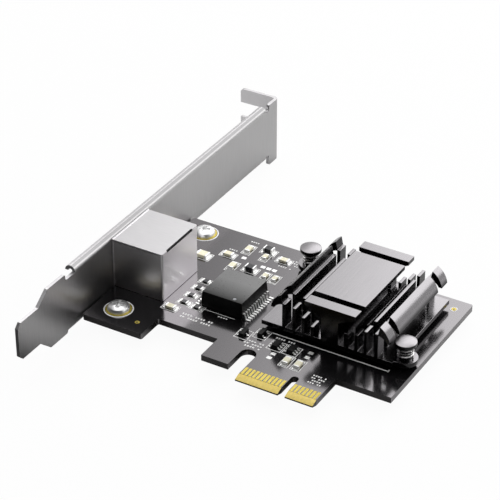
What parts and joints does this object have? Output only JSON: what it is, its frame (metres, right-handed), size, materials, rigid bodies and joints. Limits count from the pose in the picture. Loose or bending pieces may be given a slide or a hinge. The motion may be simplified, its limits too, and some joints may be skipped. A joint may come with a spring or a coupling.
{
  "type": "network interface card",
  "caption": "Single-lane expansion card with a full-height bracket, a network port, a transformer module and a black finned heatsink held by spring pins.",
  "frame": {"origin": "centre of the key notch, at the tip of the edge connector, half way through the board", "axes": "+X away from the bracket, +Y from the edge connector towards the bracket's screw tab, +Z out of the component side"},
  "size_m": [0.0909, 0.12, 0.0184],
  "materials": {
    "board": "gloss",
    "gold": "satin",
    "nickel": "satin",
    "screw_steel": "gloss",
    "tinplate": "satin",
    "black_plastic": "matte",
    "green_lamp": "gloss",
    "mould_black": "satin",
    "tin": "satin",
    "thermal_grey": "matte",
    "black_anodised": "satin",
    "black_nylon": "satin",
    "spring_steel": "satin",
    "resistor_black": "matte",
    "capacitor_cream": "matte"
  },
  "bodies": {
    "card": {"circuit_board": "board", "edge_contacts_top": "gold", "edge_contacts_bottom": "gold", "bracket": "nickel", "screw_pads": "gold", "bracket_screws": "screw_steel", "jack_shield": "tinplate", "jack_housing": "black_plastic", "jack_lamps": "green_lamp", "jack_contacts": "gold", "magnetics_body": "mould_black", "magnetics_leads": "tin", "controller_chip": "mould_black", "thermal_pad": "thermal_grey", "heatsink": "black_anodised", "pin_spring_left": "spring_steel", "pin_spring_right": "spring_steel", "resistor_bodies": "resistor_black", "resistor_ends": "tin", "capacitor_bodies": "capacitor_cream", "capacitor_ends": "tin", "filter_bodies": "resistor_black", "filter_ends": "tin", "regulator_bodies": "mould_black", "regulator_legs": "tin", "solder_pads": "tin", "test_dots": "gold"},
    "left_pin": {"push_pin_left": "black_nylon"},
    "right_pin": {"push_pin_right": "black_nylon"}
  },
  "joints": [
    {"name": "left_pin_slide", "type": "slide", "parent": "card", "child": "left_pin", "axis": [0, 0, 1], "range_m": [-0.0014, 0], "stiffness_N_per_m": 1000, "springref_m": 0.002, "deforming": ["pin_spring_left"]},
    {"name": "right_pin_slide", "type": "slide", "parent": "card", "child": "right_pin", "axis": [0, 0, 1], "range_m": [-0.0014, 0], "stiffness_N_per_m": 1000, "springref_m": 0.002, "deforming": ["pin_spring_right"]}
  ]
}
